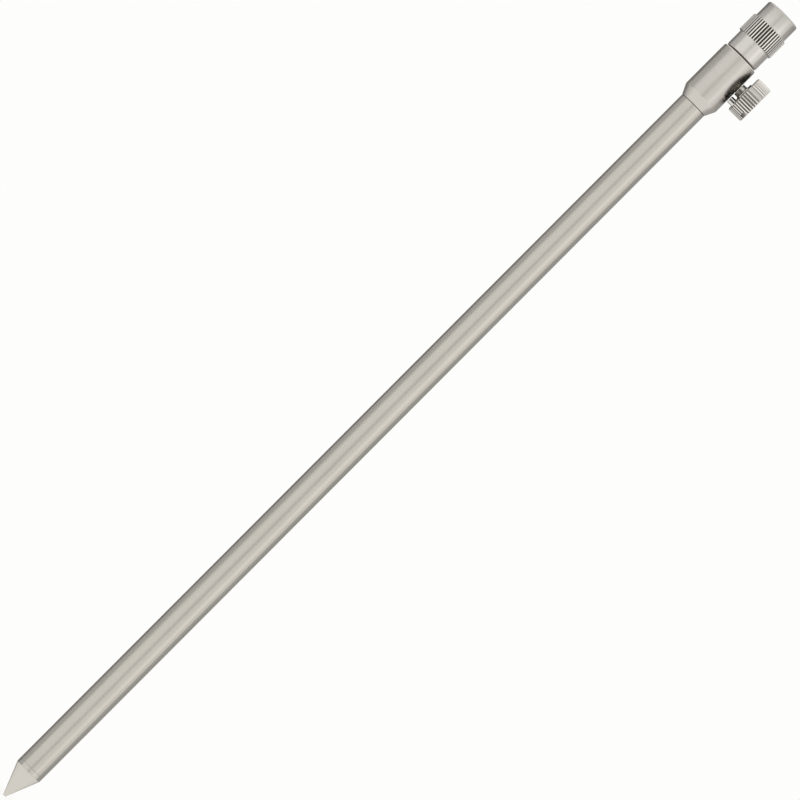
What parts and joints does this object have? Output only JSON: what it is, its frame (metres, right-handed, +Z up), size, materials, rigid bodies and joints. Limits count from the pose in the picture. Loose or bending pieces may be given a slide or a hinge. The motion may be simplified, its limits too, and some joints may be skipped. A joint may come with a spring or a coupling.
{
  "type": "bank stick",
  "caption": "Telescopic stainless ground stake with a conical spike, a sliding and turning inner pole clamped by a knurled thumb screw, and a knurled head with a threaded socket.",
  "frame": {"origin": "tip of the ground spike, on the stick's axis", "axes": "+Z up the stick to the threaded socket, +X along the thumb screw away from the stick"},
  "size_m": [0.0344, 0.0224, 0.5728],
  "materials": {
    "steel": "satin brushed stainless",
    "knurled_steel": "turned stainless with straight knurling",
    "spring_steel": "drawn spring steel",
    "brass": "turned brass",
    "black_plastic": "matte moulded",
    "white_plastic": "matte moulded"
  },
  "bodies": {
    "ground_stick": {"spike_point": "steel", "outer_tube": "steel", "collar": "steel", "guide_bush": "black_plastic"},
    "slide_ring": {"slide_ring": "white_plastic"},
    "inner_pole": {"inner_tube": "steel", "end_plug": "brass", "plug_pin": "spring_steel", "head": "knurled_steel"},
    "clamp_pad": {"clamp_pad": "brass"},
    "thumb_screw": {"thumb_stud": "steel", "thumb_knob": "knurled_steel", "stop_pin": "spring_steel"}
  },
  "joints": [
    {"name": "inner_pole_slide", "type": "slide", "parent": "ground_stick", "child": "slide_ring", "axis": [0, 0, 1], "range_m": [0, 0.417]},
    {"name": "inner_pole_turn", "type": "hinge", "parent": "slide_ring", "child": "inner_pole", "pos_m": [0, 0, 0.5566], "axis": [0, 0, 1], "continuous": true},
    {"name": "clamp_pad_slide", "type": "slide", "parent": "ground_stick", "child": "clamp_pad", "axis": [1, 0, 0], "range_m": [0, 0.0015]},
    {"name": "thumb_screw_turn", "type": "hinge", "parent": "clamp_pad", "child": "thumb_screw", "pos_m": [0.02, 0, 0.529], "axis": [1, 0, 0], "range_deg": [0, 540]}
  ],
  "couplings": [
    {"joint": "thumb_screw_turn", "follows": "clamp_pad_slide", "rad_per_m": 6283.2}
  ]
}
